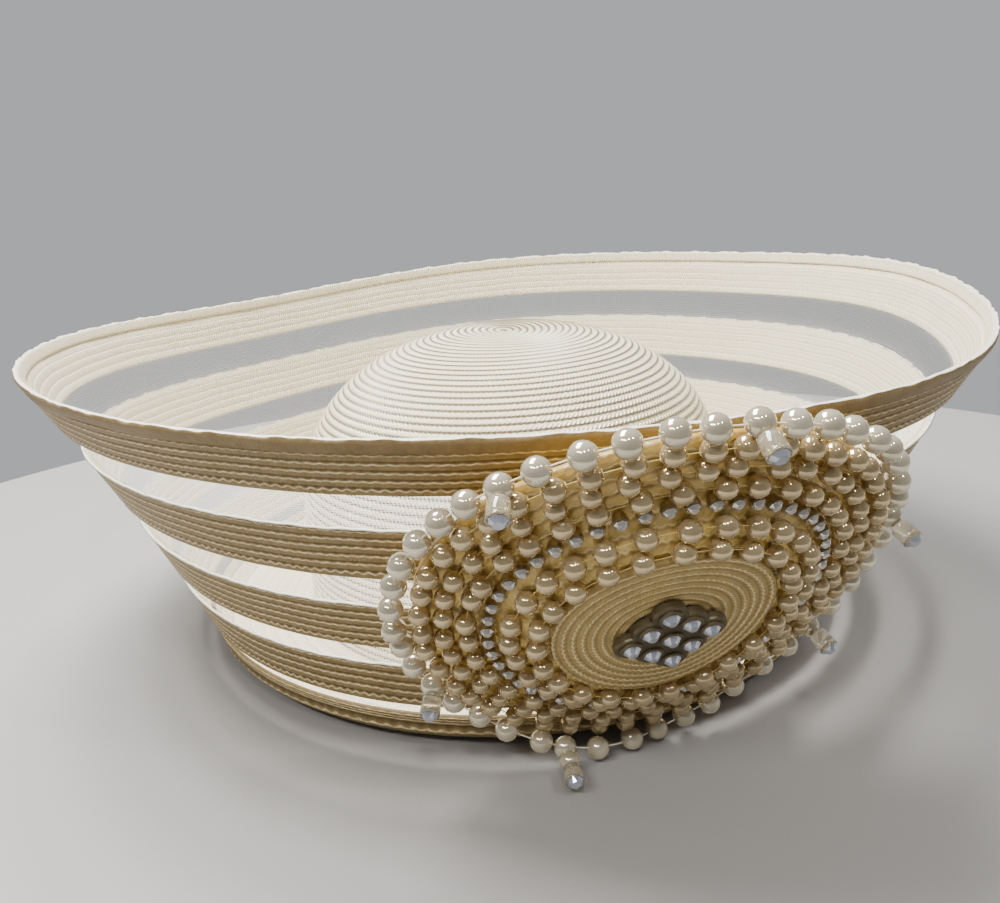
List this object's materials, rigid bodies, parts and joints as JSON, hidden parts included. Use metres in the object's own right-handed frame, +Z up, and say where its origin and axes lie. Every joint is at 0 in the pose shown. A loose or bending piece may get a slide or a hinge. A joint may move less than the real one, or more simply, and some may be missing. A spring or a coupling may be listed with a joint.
{
  "type": "church hat",
  "caption": "Formal hat with a domed braid crown, a deep upturned brim of braid bands and sheer inserts, and a round pearl rosette on the front.",
  "frame": {"origin": "below the middle of the outline seen from above, on the surface that the hat stands on", "axes": "+Z up through the crown, -Y towards the wearer's front where the rosette is, +X towards the side that is at the right in the picture"},
  "size_m": [0.3772, 0.4328, 0.1311],
  "materials": {
    "ivory_braid": "satin",
    "tan_braid": "satin",
    "sheer_net": "sheer",
    "amber_net": "sheer",
    "pearl": "pearlescent",
    "clear_stone": "polished",
    "gunmetal": "dark polished"
  },
  "bodies": {
    "root": {"crown": "ivory_braid", "brim_base_band": "tan_braid", "brim_band_4": "tan_braid", "brim_band_3": "tan_braid", "brim_band_2": "tan_braid", "brim_rim_band": "tan_braid", "brim_edge_binding": "tan_braid", "sheer_insert_4": "sheer_net", "sheer_insert_3": "sheer_net", "sheer_insert_2": "sheer_net", "sheer_insert_1": "sheer_net", "rosette_backing": "amber_net", "rosette_disc": "ivory_braid", "pearl_ring_1": "pearl", "pearl_ring_2": "pearl", "pearl_ring_3": "pearl", "pearl_ring_4": "pearl", "stone_chain": "clear_stone", "pearl_ring_5": "pearl", "pearl_ring_6": "pearl", "stone_button": "gunmetal", "crystal_stud_1": "clear_stone", "crystal_stud_2": "clear_stone", "crystal_stud_3": "clear_stone", "crystal_stud_4": "clear_stone", "crystal_stud_5": "clear_stone", "crystal_stud_6": "clear_stone"}
  },
  "joints": []
}
